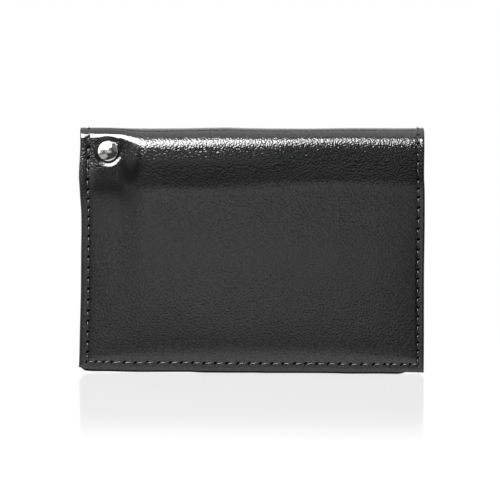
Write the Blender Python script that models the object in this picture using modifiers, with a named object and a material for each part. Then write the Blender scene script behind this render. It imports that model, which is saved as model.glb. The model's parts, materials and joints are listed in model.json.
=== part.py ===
"""Leather key case: one lined hide folded over at the top and pinched at one corner by a domed rivet.

The rivet goes through both leaves and is the pivot of a key strap with a split ring, which swings
between the leaves. The lining of the back leaf carries a card pocket.

Lengths are in metres with +Z up. The closed case stands on its long lower edges, its front faces -Y,
and the origin lies under the middle of its base. The hide and its lining are each one piece on the
real case. They are parted here only along the line where the front leaf bends open.
"""

from math import cos, pi, radians, sin, sqrt

import bmesh
import bpy
import numpy as np
from mathutils import Matrix, Vector

MM = 0.001

# Whole case
CASE_WIDTH = 105.0 * MM
CASE_HEIGHT = 75.0 * MM
CLEARANCE = 0.3 * MM  # between pieces that touch on the real case

# Layers, from the outside in
LEATHER_THICK = 1.3 * MM
LINING_THICK = 0.7 * MM
POCKET_THICK = 0.8 * MM
KEY_SPACE = 6.0 * MM  # between the front lining and the pocket, when closed
EDGE_STEP = 0.4 * MM  # the hide stops this much short of the lining's lower edge
LINING_INSET = 0.4 * MM  # the lining stops this much inside the hide's ends
POCKET_HEIGHT = 46.0 * MM

# Roll along the top
ROLL_SWELL = 1.0 * MM  # how far the roll stands proud of each flat leaf
ROLL_DROP = 18.0 * MM  # from the top down to where the leaf has gone flat
BEND_BELOW_CAP = 4.35 * MM  # from the rivet cap's rim down to the line where the front leaf bends
BEND_PROUD = 1.0 * MM  # the bending axis lies this far in front of the hide
ARC_STEPS = 12

# Rivet, and the pinch that it puts in the roll
RIVET_IN = 8.6 * MM  # from the left edge
STRAP_TUCK = 0.2 * MM  # how far the strap's round end reaches up into the fold
CAP_RADIUS = 3.15 * MM
CAP_HEIGHT = 2.0 * MM
CAP_RIM = 0.4 * MM
POST_RADIUS = 1.4 * MM
POST_WALL = 0.4 * MM
POST_FLOOR = 2.7 * MM  # the solid length at the back end of the tubular post
PINCH_FALL = 12.35 * MM  # from the rivet cap's rim down to where the pinch has faded
PINCH_FADE = 9.0 * MM  # from the rivet cap's rim sideways to where the pinch has faded
TURN_STEPS = 28

# Key strap
STRAP_THICK = 1.0 * MM
STRAP_WIDTH = 8.0 * MM
STRAP_REACH = 34.0 * MM  # from the rivet to the middle of the ring
STRAP_REST_ANGLE = radians(35)  # below level, tucked in towards the right
PLY_GAP = 0.1 * MM  # half the gap between the strap's two plies
LOOP_FLARE = 3.0 * MM

# Split ring, wound twice from flat wire
RING_RADIUS = 12.0 * MM
RING_BAND = 1.8 * MM
WIRE_THICK = 0.7 * MM
WIRE_GAP = 0.4 * MM
RING_STEP_ANGLE = radians(32)  # the turn over which the wire steps to its second plane
RING_STEPS = 76

# Seams
SEAM_LEFT = 2.6 * MM
SEAM_RIGHT = 1.9 * MM
SEAM_BOTTOM = 3.0 * MM
STITCH_PITCH = 3.4 * MM
THREAD_THICK = 0.5 * MM
THREAD_GAP = 0.12 * MM
THREAD_RISE = 0.12 * MM  # how far a stitch stands above the needle holes at its ends

# Worked out from the sizes above
LEAF_THICK = LEATHER_THICK + CLEARANCE + LINING_THICK
FLAT_HALF = (2 * LEAF_THICK + CLEARANCE + POCKET_THICK + KEY_SPACE) / 2
POCKET_FACE = FLAT_HALF - LEAF_THICK - CLEARANCE - POCKET_THICK
STRAP_Y = POCKET_FACE - KEY_SPACE / 2
STRAP_HALF = PLY_GAP + STRAP_THICK
LEFT, RIGHT = -CASE_WIDTH / 2, CASE_WIDTH / 2
RIVET_X = LEFT + RIVET_IN
PINCH_RADIUS = LEAF_THICK + CLEARANCE + STRAP_HALF
RIVET_Z = CASE_HEIGHT - PINCH_RADIUS - STRAP_WIDTH / 2 + STRAP_TUCK
CAP_LOW_Z = RIVET_Z - CAP_RADIUS
BEND_Z = CAP_LOW_Z - BEND_BELOW_CAP
FLAT_Z = CAP_LOW_Z - PINCH_FALL
RING_HALF = WIRE_THICK + WIRE_GAP / 2
LINING_DEPTH = LEATHER_THICK + CLEARANCE
SEAM_PROBE = 0.5 * MM  # how far to each side of a seam its surface is read


def ease(share):
    """0 to 1 with level ends."""
    share = np.clip(share, 0, 1)
    return share * share * (3 - 2 * share)


class Profile:
    """The hide's outer face in one plane across the case: an arc over the top and a flank on each side."""

    def __init__(self, radius, middle, hold_z, flat_z, haste):
        self.radius = radius
        self.middle = middle
        self.arc_z = CASE_HEIGHT - radius
        self.hold_z = min(hold_z, self.arc_z)
        self.flat_z = flat_z
        self.haste = haste  # 1 for an even curve, less for one that is steepest near the rivet

    def flank(self, side, z):
        """The outer face's y at heights z; side is -1 at the front and 1 at the back."""
        share = np.clip((self.hold_z - np.asarray(z)) / (self.hold_z - self.flat_z), 0, 1)
        start = self.middle + side * self.radius
        return start + (side * FLAT_HALF - start) * ease(share**self.haste)

    def heights(self, low, count):
        """Heights up a flank: the lower edge, then evenly from the flat part's top to the arc."""
        return np.concatenate([[low], np.linspace(FLAT_Z, self.arc_z, count)])

    def over(self, start, low, count):
        """Points (y, z) from height start on the front, over the top and down the back to height low."""
        up = np.linspace(start, self.arc_z, count)
        down = self.heights(low, 2 * count)[::-1]
        turn = np.linspace(pi, 0, ARC_STEPS + 1)[1:-1]
        front = np.stack([self.flank(-1, up), up], axis=1)
        arc = self.radius * np.stack([np.cos(turn), np.sin(turn)], axis=1)
        top = arc + [self.middle, self.arc_z]
        back = np.stack([self.flank(1, down), down], axis=1)
        return np.concatenate([front, top, back])


FULL = Profile(FLAT_HALF + ROLL_SWELL, 0.0, CASE_HEIGHT, CASE_HEIGHT - ROLL_DROP, 1.0)
PINCHED = Profile(PINCH_RADIUS, STRAP_Y, CAP_LOW_Z, FLAT_Z, 0.6)


def pinch(x):
    """How far the roll is drawn in at x: 1 under the rivet and out to the left edge, 0 past its fade."""
    return 1 - ease((x - RIVET_X - CAP_RADIUS - CLEARANCE) / PINCH_FADE)


def stations(inset=0.0):
    """Places across the width: close together where the pinch fades, and few elsewhere."""
    fade_from = RIVET_X + CAP_RADIUS + CLEARANCE
    fading = np.linspace(fade_from, fade_from + PINCH_FADE, 7)
    near = [LEFT + inset, (LEFT + RIVET_X) / 2, RIVET_X]
    far = [fading[-1] + (RIGHT - fading[-1]) / 2, RIGHT - inset]
    return np.concatenate([near, fading, far])


def outer_face(places, full, pinched):
    """The hide's outer face as an array of points: full and pinched outlines mixed at each place."""
    rows = []
    for x in places:
        share = pinch(x)
        outline = (1 - share) * full + share * pinched
        rows.append(np.insert(outline, 0, x, axis=1))
    return np.array(rows)


def cover_face(low, inset=0.0, count=6):
    """The front leaf's outer face, from height low up to the bending line."""
    high = BEND_Z - CLEARANCE / 2
    z = np.concatenate([[low], np.linspace(FLAT_Z, high, count)])
    outlines = [np.stack([p.flank(-1, z), z], axis=1) for p in (FULL, PINCHED)]
    return outer_face(stations(inset), *outlines)


def shell_face(low, inset=0.0, count=4):
    """The outer face of the roll and the back leaf, from the bending line round to height low."""
    start = BEND_Z + CLEARANCE / 2
    return outer_face(stations(inset), *(p.over(start, low, count) for p in (FULL, PINCHED)))


def sink(face, depth):
    """The surface that lies depth under an outer face."""
    across, along = np.gradient(face, axis=0), np.gradient(face, axis=1)
    normal = np.cross(across, along)
    normal /= np.linalg.norm(normal, axis=2, keepdims=True)
    return face - depth * normal


def material(name, colour, roughness, metallic=0.0):
    made = bpy.data.materials.new(name)
    made.use_nodes = True
    surface = made.node_tree.nodes["Principled BSDF"]
    surface.inputs["Base Color"].default_value = (*colour, 1)
    surface.inputs["Roughness"].default_value = roughness
    surface.inputs["Metallic"].default_value = metallic
    return made


def add_object(name, mesh, finish, collection):
    made = bpy.data.objects.new(name, mesh)
    if finish:
        made.data.materials.append(finish)
    collection.objects.link(made)
    return made


def mesh_from(bm, name):
    mesh = bpy.data.meshes.new(name)
    bm.to_mesh(mesh)
    bm.free()
    return mesh


def grid_mesh(name, face):
    """An open surface through an array of points, with its faces turned to the side that sink() leaves."""
    columns, rows = face.shape[:2]
    bm = bmesh.new()
    bmesh.ops.create_grid(bm, x_segments=rows - 1, y_segments=columns - 1, size=1)
    bm.verts.ensure_lookup_table()
    for vertex, point in zip(bm.verts, face.reshape(-1, 3)):
        vertex.co = point
    bmesh.ops.reverse_faces(bm, faces=bm.faces)
    return mesh_from(bm, name)


def add_layer(name, face, depth, thick, finish, collection):
    """A layer of hide or lining of the given thickness, its outer side depth under the outer face."""
    made = add_object(name, grid_mesh(name, sink(face, depth)), finish, collection)
    wall = made.modifiers.new("thickness", "SOLIDIFY")
    wall.thickness = thick
    wall.offset = -1
    wall.use_even_offset = True
    return made


def set_origin(made, point):
    """Puts an object's origin at a point without moving its mesh in space."""
    made.data.transform(Matrix.Translation(-Vector(point)))
    made.location = point


def turned_mesh(name, outline):
    """A profile of (radius, height) points, for a Screw modifier about the Z axis."""
    bm = bmesh.new()
    verts = [bm.verts.new((r, 0, z)) for r, z in outline]
    for a, b in zip(verts, verts[1:]):
        bm.edges.new((a, b))
    return mesh_from(bm, name)


def add_turned(name, outline, y, finish, collection):
    """A turned piece whose axis is the rivet's and whose +Z points out of the case's front."""
    made = add_object(name, turned_mesh(name, outline), finish, collection)
    made.location = (RIVET_X, y, RIVET_Z)
    made.rotation_euler = (pi / 2, 0, 0)
    screw = made.modifiers.new("turned", "SCREW")
    screw.steps = TURN_STEPS
    screw.render_steps = TURN_STEPS
    screw.use_merge_vertices = True
    screw.merge_threshold = 0.00001
    return made


def dome(radius, height, count=5):
    """Points from the crown of a shallow dome out to its edge, which lies at height 0."""
    ball = (radius**2 + height**2) / (2 * height)
    reach = np.arcsin(radius / ball)
    angles = np.linspace(0, reach, count)
    return [(ball * sin(a), ball * cos(a) - ball + height) for a in angles]


def cut(made, cutter):
    hole = made.modifiers.new("rivet hole", "BOOLEAN")
    hole.operation = "DIFFERENCE"
    hole.object = cutter
    hole.solver = "EXACT"


def add_rivet_cutter(collection):
    """A pin along the rivet's axis, wider than the post by the clearance."""
    bm = bmesh.new()
    radius = POST_RADIUS + CLEARANCE
    bmesh.ops.create_cone(
        bm, cap_ends=True, segments=20, radius1=radius, radius2=radius, depth=6 * FLAT_HALF
    )
    cutter = add_object("rivet_hole_cutter", mesh_from(bm, "rivet_hole_cutter"), None, collection)
    cutter.location = (RIVET_X, 0, RIVET_Z)
    cutter.rotation_euler = (pi / 2, 0, 0)
    cutter.hide_render = True
    cutter.display_type = "WIRE"
    return cutter


def add_rivet(finish, collection):
    """The domed cap with its stem at the front, and the tubular post with its own cap at the back."""
    front = STRAP_Y - PINCH_RADIUS - CLEARANCE
    back = STRAP_Y + PINCH_RADIUS + CLEARANCE
    length = back - front - CLEARANCE
    stem, stem_end = POST_RADIUS - POST_WALL - CLEARANCE, POST_FLOOR - length
    crown = [(r, z + CAP_RIM) for r, z in dome(CAP_RADIUS, CAP_HEIGHT - CAP_RIM)]
    cap = crown + [(CAP_RADIUS, 0), (stem, 0), (stem, stem_end), (0, stem_end)]
    add_turned("rivet_cap", cap, front, finish, collection)
    bore = POST_RADIUS - POST_WALL
    tube = [(0, POST_FLOOR), (bore, POST_FLOOR), (bore, length), (POST_RADIUS, length), (POST_RADIUS, 0)]
    under = [(r, -z - CAP_RIM) for r, z in dome(CAP_RADIUS, CAP_HEIGHT - CAP_RIM)][::-1]
    add_turned("rivet_post", tube + [(CAP_RADIUS, 0)] + under, back, finish, collection)


def strap_path():
    """The strap's inner side in its own plane (along, across thickness), from the rivet round the ring."""
    room = RING_HALF + CLEARANCE
    ring_outer = STRAP_REACH - RING_RADIUS
    bore = RING_RADIUS - RING_BAND
    ring_inner = STRAP_REACH - sqrt(bore**2 - (STRAP_WIDTH / 2) ** 2)
    loop_from, loop_to = ring_outer - CLEARANCE, ring_inner + CLEARANCE
    flare = np.linspace(0, 1, 5)
    along = [-STRAP_WIDTH / 2 * s for s in (0.94, 0.8, 0.5)] + [0.0]
    side = [(u, PLY_GAP) for u in along]
    side += [(loop_from - LOOP_FLARE * (1 - s), PLY_GAP + (room - PLY_GAP) * ease(s)) for s in flare]
    side += [(loop_to, room)]
    turn = [(loop_to + room * sin(a), room * cos(a)) for a in np.linspace(0, pi, 9)[1:-1]]
    return side + turn + [(u, -w) for u, w in side[::-1]]


def add_key_strap(finish, collection, cutter):
    """A strip of hide folded round the ring, both ends on the rivet, its origin on the rivet's axis."""
    half = STRAP_WIDTH / 2
    rows = []
    for share in (-1, -0.5, 0, 0.5, 1):
        row = []
        for along, across in strap_path():
            width = sqrt(half**2 - along**2) if along < 0 else half
            row.append((along, across, share * width))
        rows.append(row)
    strap = add_object("key_strap", grid_mesh("key_strap", np.array(rows)), finish, collection)
    strap.location = (RIVET_X, STRAP_Y, RIVET_Z)
    strap.rotation_euler = (0, STRAP_REST_ANGLE, 0)
    wall = strap.modifiers.new("thickness", "SOLIDIFY")
    wall.thickness = STRAP_THICK
    wall.offset = 1
    wall.use_even_offset = True
    cut(strap, cutter)
    return strap


def add_key_ring(finish, collection, strap):
    """Two turns of flat wire that step from one plane to the other, its origin at its middle."""
    plane = (WIRE_THICK + WIRE_GAP) / 2
    end = RING_STEP_ANGLE / 2 + CLEARANCE / RING_RADIUS
    angles = np.linspace(end, 4 * pi - end, RING_STEPS)
    rows = []
    for radius in (RING_RADIUS, RING_RADIUS - RING_BAND):
        row = []
        for a in angles:
            step = ease((a - 2 * pi) / RING_STEP_ANGLE + 0.5)
            row.append((radius * cos(a), plane * (2 * step - 1), radius * sin(a)))
        rows.append(row)
    ring = add_object("key_ring", grid_mesh("key_ring", np.array(rows)), finish, collection)
    ring.parent = strap
    ring.location = (STRAP_REACH, 0, 0)
    wall = ring.modifiers.new("wire", "SOLIDIFY")
    wall.thickness = WIRE_THICK
    wall.offset = 0
    return ring


def seam_side(x, outlines):
    """Points and outward normals up or round the side seam at x."""
    face = outer_face([x - SEAM_PROBE, x, x + SEAM_PROBE], *outlines)
    base, raised = face[1], sink(face, -SEAM_PROBE)[1]
    return base, (raised - base) / SEAM_PROBE


def stitched(points, normals):
    """The thread's route along one leg of a seam: down at each needle hole and up over each stitch."""
    steps = np.linalg.norm(np.diff(points, axis=0), axis=1)
    reach = np.concatenate([[0], np.cumsum(steps)])
    count = max(1, round(reach[-1] / STITCH_PITCH))
    places = np.linspace(0, reach[-1], 2 * count + 1)
    point, normal = (
        np.stack([np.interp(places, reach, a[:, k]) for k in range(3)], axis=1)
        for a in (points, normals)
    )
    lift = np.full((len(places), 1), THREAD_GAP + THREAD_THICK / 2)
    lift[1::2] += THREAD_RISE
    return list(point + normal * lift)


def add_seam_thread(name, outlines, side, finish, collection):
    """One thread down the left side, along the bottom and up the right side of a leaf."""
    left, right = LEFT + SEAM_LEFT, RIGHT - SEAM_RIGHT
    legs = [seam_side(x, outlines) for x in (left, right)]
    if side < 0:
        legs = [(points[::-1], normals[::-1]) for points, normals in legs]
    ends = np.array([(x, side * FLAT_HALF, SEAM_BOTTOM) for x in (left, right)])
    bottom = (ends, np.array([(0, side, 0)] * 2))
    (left_points, left_normals), (right_points, right_normals) = legs
    route = stitched(left_points, left_normals) + stitched(*bottom)[1:]
    route += stitched(right_points[::-1], right_normals[::-1])[1:]
    curve = bpy.data.curves.new(name, "CURVE")
    curve.dimensions = "3D"
    curve.bevel_depth = THREAD_THICK / 2
    curve.bevel_resolution = 0
    curve.use_fill_caps = True
    spline = curve.splines.new("POLY")
    spline.points.add(len(route) - 1)
    for point, place in zip(spline.points, route):
        point.co = (*place, 1)
    return add_object(name, curve, finish, collection)


def add_cover_thread(finish, collection):
    """The front leaf's seam, from the bending line down, along the bottom and up again."""
    z = np.linspace(SEAM_BOTTOM, BEND_Z - CLEARANCE, 30)
    outlines = [np.stack([p.flank(-1, z), z], axis=1) for p in (FULL, PINCHED)]
    return add_seam_thread("front_seam_thread", outlines, -1, finish, collection)


def add_shell_thread(finish, collection):
    """The seam of the roll and the back leaf, over the top on both sides."""
    outlines = [p.over(BEND_Z + CLEARANCE, SEAM_BOTTOM, 14) for p in (FULL, PINCHED)]
    return add_seam_thread("back_seam_thread", outlines, 1, finish, collection)


def add_card_pocket(finish, collection):
    """A panel on the lining of the back leaf, closed at its sides and bottom by the seam."""
    bm = bmesh.new()
    low, high = EDGE_STEP, POCKET_HEIGHT
    width = CASE_WIDTH - 2 * LINING_INSET
    bmesh.ops.create_cube(bm, size=1, matrix=Matrix.Diagonal((width, POCKET_THICK, high - low, 1)))
    pocket = add_object("card_pocket", mesh_from(bm, "card_pocket"), finish, collection)
    pocket.location = (0, POCKET_FACE + POCKET_THICK / 2, (low + high) / 2)
    return pocket


def main():
    for old in list(bpy.data.objects):
        bpy.data.objects.remove(old, do_unlink=True)
    parts = bpy.data.collections.new("leather_key_case")
    cutters = bpy.data.collections.new("cutters")
    for collection in (parts, cutters):
        bpy.context.scene.collection.children.link(collection)

    hide = material("black_calf", (0.018, 0.018, 0.019), 0.32)
    lining = material("black_lining", (0.024, 0.024, 0.025), 0.6)
    thread = material("black_thread", (0.03, 0.03, 0.032), 0.5)
    nickel = material("polished_nickel", (0.78, 0.77, 0.74), 0.12, 1.0)
    steel = material("ring_steel", (0.6, 0.6, 0.6), 0.2, 1.0)
    cutter = add_rivet_cutter(cutters)

    front_leather = add_layer("front_leather", cover_face(EDGE_STEP), 0, LEATHER_THICK, hide, parts)
    front_lining = add_layer(
        "front_lining", cover_face(0, LINING_INSET), LINING_DEPTH, LINING_THICK, lining, parts
    )
    front_thread = add_cover_thread(thread, parts)
    back_leather = add_layer("back_leather", shell_face(EDGE_STEP), 0, LEATHER_THICK, hide, parts)
    back_lining = add_layer(
        "back_lining", shell_face(0, LINING_INSET), LINING_DEPTH, LINING_THICK, lining, parts
    )
    add_shell_thread(thread, parts)
    add_card_pocket(lining, parts)
    for pierced in (back_leather, back_lining):
        cut(pierced, cutter)

    bend_axis = (0, float(FULL.flank(-1, BEND_Z)) - BEND_PROUD, BEND_Z)
    for moving in (front_leather, front_lining, front_thread):
        set_origin(moving, bend_axis)

    add_rivet(nickel, parts)
    strap = add_key_strap(hide, parts, cutter)
    add_key_ring(steel, parts, strap)


main()
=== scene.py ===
"""Looks of the leather key case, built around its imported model.

Lengths are in metres with +Z up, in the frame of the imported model: the closed case stands on its long
lower edges with its front facing -Y. The hide and its lining are made as one sheet each, from the front
leaf's lower edge up, over the roll and down the back, and parted on the back just above the bend.
"""

import json
from math import cos, pi, radians, sin, sqrt

import bmesh
import bpy
import numpy as np
from mathutils import Matrix, Vector, noise


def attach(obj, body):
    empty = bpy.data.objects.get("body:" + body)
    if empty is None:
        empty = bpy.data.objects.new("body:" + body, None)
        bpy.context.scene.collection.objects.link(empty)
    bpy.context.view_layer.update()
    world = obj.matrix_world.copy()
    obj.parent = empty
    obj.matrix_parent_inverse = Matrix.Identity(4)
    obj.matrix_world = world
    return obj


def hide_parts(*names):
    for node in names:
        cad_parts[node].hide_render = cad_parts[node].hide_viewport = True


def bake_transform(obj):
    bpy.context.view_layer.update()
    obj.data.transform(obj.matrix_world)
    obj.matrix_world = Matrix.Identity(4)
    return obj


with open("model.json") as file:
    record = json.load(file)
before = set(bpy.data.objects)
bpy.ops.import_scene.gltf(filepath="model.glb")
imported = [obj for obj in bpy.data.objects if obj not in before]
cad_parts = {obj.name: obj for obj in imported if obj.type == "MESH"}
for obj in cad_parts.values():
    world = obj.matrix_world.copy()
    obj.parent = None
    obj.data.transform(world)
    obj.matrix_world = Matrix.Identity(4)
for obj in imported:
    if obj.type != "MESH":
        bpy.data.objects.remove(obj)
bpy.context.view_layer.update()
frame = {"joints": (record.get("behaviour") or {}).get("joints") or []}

MM = 0.001

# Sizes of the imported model
CASE_WIDTH = 105.0 * MM
CASE_HEIGHT = 75.0 * MM
LEFT, RIGHT = -CASE_WIDTH / 2, CASE_WIDTH / 2
FLAT_HALF = 5.85 * MM  # half of the closed case's thickness at its leaves
LEAF_THICK = 2.3 * MM  # hide and lining
EDGE_STEP = 0.4 * MM  # the hide stops this much short of the lining's lower edge
LINING_INSET = 0.4 * MM
POCKET_FACE = 2.45 * MM
POCKET_THICK = 0.8 * MM
POCKET_HEIGHT = 46.0 * MM
ROLL_RADIUS = 6.85 * MM
RIVET_X, STRAP_Y, RIVET_Z = frame["joints"][1]["pos_m"]
CAP_RADIUS = 3.15 * MM
CAP_HEIGHT = 2.0 * MM
CAP_BEAD = [  # (radius, height) down the rolled rim of the cap, in millimetres
    (2.72, 1.3), (2.85, 1.22), (2.97, 1.11), (3.07, 0.95), (3.13, 0.76), (3.15, 0.55), (3.12, 0.34),
    (3.05, 0.16), (2.93, 0.04), (2.8, 0.0),
]
POST_RADIUS = 1.4 * MM
POST_WALL = 0.4 * MM
POST_FLOOR = 2.7 * MM
CLEARANCE = 0.3 * MM
PINCH_RADIUS = 3.7 * MM
STRAP_THICK = 1.0 * MM
STRAP_WIDTH = 8.0 * MM
STRAP_REACH = 34.0 * MM
STRAP_REST_ANGLE = radians(35)
PLY_GAP = 0.1 * MM
LOOP_FLARE = 3.0 * MM
RING_RADIUS = 12.0 * MM
RING_BAND = 1.8 * MM
WIRE_THICK = 0.7 * MM
WIRE_GAP = 0.4 * MM
RING_STEP_ANGLE = radians(32)
SEAM_LEFT = LEFT + 2.6 * MM
SEAM_RIGHT = RIGHT - 1.9 * MM
SEAM_Z = 3.0 * MM

# Finish of the sheets
HIDE_THICK = 1.45 * MM
HIDE_LOW = 0.6 * MM  # the hide's lower edge
LINING_TOP = 1.48 * MM  # from the hide's outer face in to the lining
LINING_THICK = LEAF_THICK - LINING_TOP
PART_Z = 65.0 * MM  # where the sheets are parted on the back
EDGE_ROUND = 0.45 * MM
HEM_ROUND = (1.0 * MM, 0.4 * MM)  # height and depth of the roll-off above the front's lower edge
SIDE_DIP = (0.08 * MM, 0.8 * MM)  # depth and reach of the seams' furrows
HEM_DIP = (0.1 * MM, 1.0 * MM)
PUFF = 0.42 * MM  # how far the flat of a leaf stands above its seams
PUFF_REACH = 8.0 * MM
PUFF_TOP, PUFF_FADE = 32.0 * MM, 26.0 * MM  # it is full up to this height, and gone so far above it
WAVES = ((0.05 * MM, 15.0 * MM), (0.012 * MM, 5.0 * MM))  # height and size of the leather's slow waves
ARC_STEPS = 40
UPPER_STEPS = 12
FINE_STEP = 0.3 * MM  # of the mesh along the seams and round the rivet
PINCH_SIDE = -30.0 * MM  # the mesh is finer from the left edge to here
PINCH_FROM = 2.6 * MM  # from the rivet's axis to where the roll begins to open out
PINCH_FADE = 9.0 * MM
DIMPLE = (3.0 * MM, 4.55 * MM)  # from the rivet's seat out to where its dimple ends
TUCK = 0.15 * MM  # how far the rivet draws in the leather just above its cap
TUCK_RING = (2.0 * MM, 3.9 * MM)  # from the rivet's axis to where the tuck begins and where it fades
CROWN_HALF = 3.2 * MM  # nearer the strap's plane lies the crown of the roll, which isn't pressed
BACK_PINCH = 12.35 * MM  # from the rivet's cap down to where the back is flat again
SEAT_GAP = 0.15 * MM

# (height, depth) down the front face at the rivet, in millimetres
RIVET_FLANK = [
    (71.3, -4.25), (69.6, -4.34), (67.5, -4.46), (65.5, -4.59), (63, -4.77), (60, -4.99),
    (57, -5.2), (54, -5.34), (51, -5.42), (48, -5.47), (40, -5.57), (25, -5.74), (10, -5.85),
]

# Where the wear of the top begins, and how far that of each edge reaches
TOP_WORN_FROM, TOP_WORN = 68.5 * MM, 6.0 * MM
LOW_WORN = 14.0 * MM
SIDE_WORN = 6.0 * MM
CORNER_WORN = 5.0 * MM

# How far use has moved the outline, by place along it, in millimetres
TOP_SAG = [
    (-52.5, -0.02), (-46, -0.03), (-37, -0.2), (-31, -0.18), (-22, -0.1), (-12, 0.12), (-8, 0.18),
    (-2, 0), (8, -0.1), (17, -0.1), (30, 0.08), (39, 0.12), (48, 0.12), (52.5, 0.35),
]
LOW_LIFT = [
    (-52.5, 0.5), (-49, 0.5), (-44, 0.5), (-39, 0.38), (-34, 0.31), (-29, 0.34), (-19.5, 0.38),
    (-14.6, 0.2), (-5, 0.17), (0, 0.2), (5, 0.13), (15, 0.16), (25, 0.12), (30, 0), (39, 0.06),
    (44, 0), (52.5, 0),
]
LEFT_PUSH = [
    (0, -0.1), (5.7, 0.14), (10, 0.19), (18, 0.35), (27, 0.5), (35, 0.5), (44, 0.55), (48, 0.5),
    (54, 0.1), (57, -0.1), (60, -0.3), (66, -0.06), (70, 0.05), (75, -0.15),
]
RIGHT_PUSH = [
    (0, -0.1), (8, -0.06), (30, -0.09), (40, 0), (46, 0.05), (52, 0.05), (56, 0), (61, -0.22),
    (70, -0.2), (75, 0),
]
# Share of the firmer, squarer roll by place across the case, in thousandths
FIRM_SHARE = [(-16, 0), (4, 350), (14, 700), (24, 1000), (31, 950), (38, 750), (46, 600), (52.5, 600)]
# Lift of the sheets' lower corners by place across, in millimetres
HIDE_CORNERS = [(-52.5, 0.8), (-51.4, 0.45), (-49, 0.12), (-44, 0), (44, 0), (47, 0), (52.5, -0.1)]
LINING_CORNERS = [
    (-52.5, 1.4), (-51.5, 0.8), (-50.6, 0.2), (-48, 0), (44.5, 0), (46, 0.2), (47.8, 0.9), (52.5, 1.6),
]

# The usual stitch, and shares of it along the hems: the maker closed up towards the front's corners
SIDE_PITCH = 3.25 * MM
HEM_STITCHES = [0.76, 0.67, 0.7, 1.15, 0.97, 1.03, 1.04, 1.01] + [1.0] * 15
HEM_STITCHES += [0.98, 1.0, 1.04, 1.03, 0.52, 0.98, 0.7, 0.7]
BACK_HEM_STITCHES = [1.0] * 30
# Lengths of the first stitches up each side of the front from the hem, in millimetres
LEFT_STITCHES = [3.04, 3.04, 3.04, 3.34, 3.04, 3.34, 3.34, 3.34, 3.04, 3.34, 3.04, 3.19, 3.19]
LEFT_STITCHES += [2.73, 2.73, 2.73, 2.73, 3.19, 3.19, 3.34, 3.34, 3.1]
RIGHT_STITCHES = [2.13, 2.13, 2.43, 2.43, 2.73, 2.73, 2.73, 3.04, 2.73, 3.04, 2.73, 3.04, 3.04, 3.04]
RIGHT_STITCHES += [3.34, 3.04, 3.34, 3.19, 2.58, 2.73, 2.73, 2.73, 2.73, 2.78, 3.1]
THREAD_THICK = 0.45 * MM
SIDE_HOLE = (0.62 * MM, 0.42 * MM)  # half sizes of the slanted needle holes
HEM_HOLE = (0.55 * MM, 0.35 * MM)
HOLE_SLANT = radians(38)
SIDE_PRESS = 0.13 * MM  # how much deeper the side stitches lie than those along the hem
STRAP_PRESS = 0.28 * MM  # deeper still on the inside, where the strap swings past
STRAP_PRESS_FROM = 58.0 * MM  # the height from which it does

# Camera and light
LENS, SENSOR = 150.0, 36.0
CAMERA_DISTANCE = 633.0 * MM  # from the front leaf
EYE = (-0.58 * MM, 37.6 * MM)
CAMERA_ROLL = radians(0.2)
CARDS_FACE = 38.0 * MM  # the height on the case that every card faces
CARDS = [  # name, azimuth and elevation in degrees, distance, (width, height), radiance
    ("key_card", -27, 35.5, 0.8, (0.6, 0.52), 26.0),
    ("key_wing", 8, 41, 0.8, (0.2, 0.34), 6.0),
    ("key_foot", -7, 20, 0.9, (0.18, 0.13), 2.4),
    ("right_card", 62, 24, 1.0, (1.1, 0.8), 0.15),
    ("left_card", -88, 18, 1.0, (1.35, 1.1), 1.6),
    ("left_foot", -52, 1, 1.0, (0.5, 0.36), 0.5),
    ("left_floor", -62, -28, 0.45, (0.95, 0.24), 0.5),
    ("rim_card", 98, 8, 1.0, (0.85, 1.5), 1.2),
    ("top_card", 0, 88, 0.9, (1.0, 0.9), 1.6),
    ("front_card", -1.5, 0.3, 0.95, (0.26, 0.22), 0.42),
    ("wide_card", -1.5, 0.3, 0.97, (0.7, 0.22), 0.46),
    ("back_card", 180, 28, 0.6, (1.3, 0.75), 1.1),
]


def ease(share):
    """0 to 1 with level ends."""
    share = np.clip(share, 0, 1)
    return share * share * (3 - 2 * share)


def bell(offset, reach):
    return np.exp(-((offset / reach) ** 2))


def nearest(values, place):
    return int(np.argmin(np.abs(values - place)))


def along_table(places, table):
    """A smooth curve through a table of (place, amount) in millimetres, which never passes its amounts."""
    at, amount = (np.array(column) * MM for column in zip(*table))
    rate = np.diff(amount) / np.diff(at)
    both = rate[1:] + rate[:-1]
    turning = rate[1:] * rate[:-1] <= 0
    slope = np.where(turning, 0, 2 * rate[1:] * rate[:-1] / np.where(turning, 1, both))
    slope = np.concatenate([rate[:1], slope, rate[-1:]])
    k = np.clip(np.searchsorted(at, places) - 1, 0, len(at) - 2)
    span = at[k + 1] - at[k]
    t = np.clip((places - at[k]) / span, 0, 1)
    rise = amount[k + 1] - amount[k]
    return (
        amount[k]
        + rise * t * t * (3 - 2 * t)
        + span * (slope[k] * t * (1 - t) ** 2 - slope[k + 1] * t * t * (1 - t))
    )


# Outline of the hide


class Outline:
    """The hide's outer face in one plane across the case: two flanks and two turned corners."""

    def __init__(self, radius, front, back, flanks):
        self.radius, self.flanks = radius, flanks
        self.arc_z = CASE_HEIGHT - radius
        self.front_middle, self.back_middle = front + radius, back - radius

    def points(self, front_z, back_z):
        """(y, z) up the front through front_z, over the top, and down the back through back_z."""
        up = np.linspace(PART_Z, self.arc_z, UPPER_STEPS + 1)
        turn = np.linspace(pi, 0, ARC_STEPS + 1)[1:-1]
        front = np.concatenate([front_z, up])
        back = np.concatenate([up[::-1], back_z])
        aside = np.arange(len(turn)) - len(turn) // 2
        middle = np.interp(aside, [-1, 1], [self.front_middle, self.back_middle])
        arc = self.radius * np.stack([np.cos(turn), np.sin(turn)], axis=1)
        arc += np.stack([middle, np.full(len(turn), self.arc_z)], axis=1)
        sides = [np.stack([flank(z), z], axis=1) for flank, z in zip(self.flanks, (front, back))]
        return np.concatenate([sides[0], arc, sides[1]])


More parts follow.
